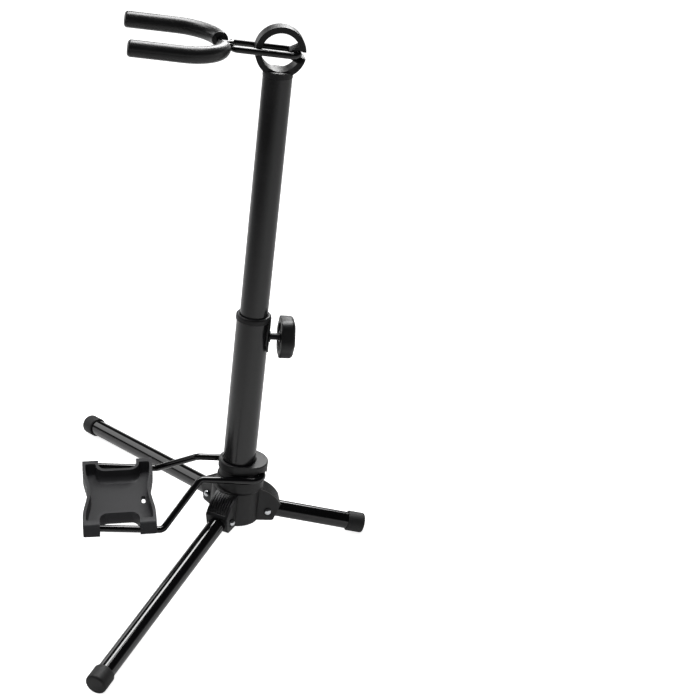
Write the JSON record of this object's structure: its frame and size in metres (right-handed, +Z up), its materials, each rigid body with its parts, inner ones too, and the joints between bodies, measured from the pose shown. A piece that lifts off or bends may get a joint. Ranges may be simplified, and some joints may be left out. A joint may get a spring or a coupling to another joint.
{
  "type": "cello stand",
  "caption": "Folding stand that holds a cello upright: telescopic mast on a hub with folding legs, a sleeved wire yoke for the neck and a fold-up saddle plate for the body.",
  "frame": {"origin": "on the floor, under the middle of the stand's bounding box", "axes": "+Z up, -Y towards the cello, with the short leg behind at +Y, +X to the right as seen from the cello side looking back"},
  "size_m": [0.5826, 0.3356, 0.6293],
  "materials": {
    "tube_paint": "semi-gloss black paint on steel tube",
    "leg_paint": "glossy black paint on steel tube",
    "wire_paint": "glossy black paint on bent steel wire",
    "hub_plastic": "satin black moulded plastic",
    "clip_plastic": "satin black moulded plastic",
    "plate_plastic": "matt dark grey moulded plastic",
    "foot_rubber": "matt black rubber",
    "sleeve_foam": "soft satin black rubber foam",
    "screw_steel": "bright zinc-plated steel",
    "nut_brass": "turned brass"
  },
  "bodies": {
    "base": {"hub": "hub_plastic", "outer_tube": "tube_paint", "clamp_collar": "clip_plastic", "clamp_nut": "nut_brass", "leg_screw_rear": "screw_steel", "leg_screw_left": "screw_steel", "leg_screw_right": "screw_steel", "leg_nut_rear": "screw_steel", "leg_nut_left": "screw_steel", "leg_nut_right": "screw_steel"},
    "mast": {"inner_tube": "tube_paint", "inner_tube_end_cap": "clip_plastic", "head_ring": "clip_plastic"},
    "yoke": {"yoke_wire": "wire_paint", "yoke_sleeve_left": "sleeve_foam", "yoke_sleeve_right": "sleeve_foam"},
    "cradle": {"cradle_wire": "wire_paint", "cradle_plate": "plate_plastic"},
    "pressure_pad": {"clamp_pad": "clip_plastic"},
    "knob": {"clamp_screw": "screw_steel", "clamp_knob": "clip_plastic"},
    "leg_rear": {"leg_tube_rear": "leg_paint", "foot_cap_rear": "foot_rubber"},
    "leg_left": {"leg_tube_left": "leg_paint", "foot_cap_left": "foot_rubber"},
    "leg_right": {"leg_tube_right": "leg_paint", "foot_cap_right": "foot_rubber"}
  },
  "joints": [
    {"name": "leg_rear_hinge", "type": "hinge", "parent": "base", "child": "leg_rear", "pos_m": [0, 0.04858, 0.04215], "axis": [-1, 0, 0], "range_deg": [0, 80.2]},
    {"name": "leg_left_hinge", "type": "hinge", "parent": "base", "child": "leg_left", "pos_m": [-0.03291, -0.00817, 0.04752], "axis": [0.5, -0.8622, 0.0816], "range_deg": [0, 80.2]},
    {"name": "leg_right_hinge", "type": "hinge", "parent": "base", "child": "leg_right", "pos_m": [0.03291, -0.00817, 0.04752], "axis": [0.5, 0.8622, -0.0816], "range_deg": [0, 80.2]},
    {"name": "mast_slide", "type": "slide", "parent": "base", "child": "mast", "axis": [0, 0.0942, 0.9956], "range_m": [-0.214, 0.1636]},
    {"name": "yoke_swing", "type": "hinge", "parent": "mast", "child": "yoke", "pos_m": [0, 0.08237, 0.59572], "axis": [-1, 0, 0], "range_deg": [0, 264]},
    {"name": "cradle_fold", "type": "hinge", "parent": "base", "child": "cradle", "pos_m": [0, 0.04245, 0.09205], "axis": [-1, 0, 0], "range_deg": [0, 82]},
    {"name": "clamp_press", "type": "slide", "parent": "base", "child": "pressure_pad", "axis": [0, 0.9956, -0.0942], "range_m": [0, 0.003]},
    {"name": "knob_turn", "type": "hinge", "parent": "pressure_pad", "child": "knob", "pos_m": [0, 0.03179, 0.26813], "axis": [0, 0.9956, -0.0942], "range_deg": [0, 1080]}
  ],
  "couplings": [
    {"joint": "clamp_press", "follows": "knob_turn", "m_per_rad": 0.00015915}
  ]
}
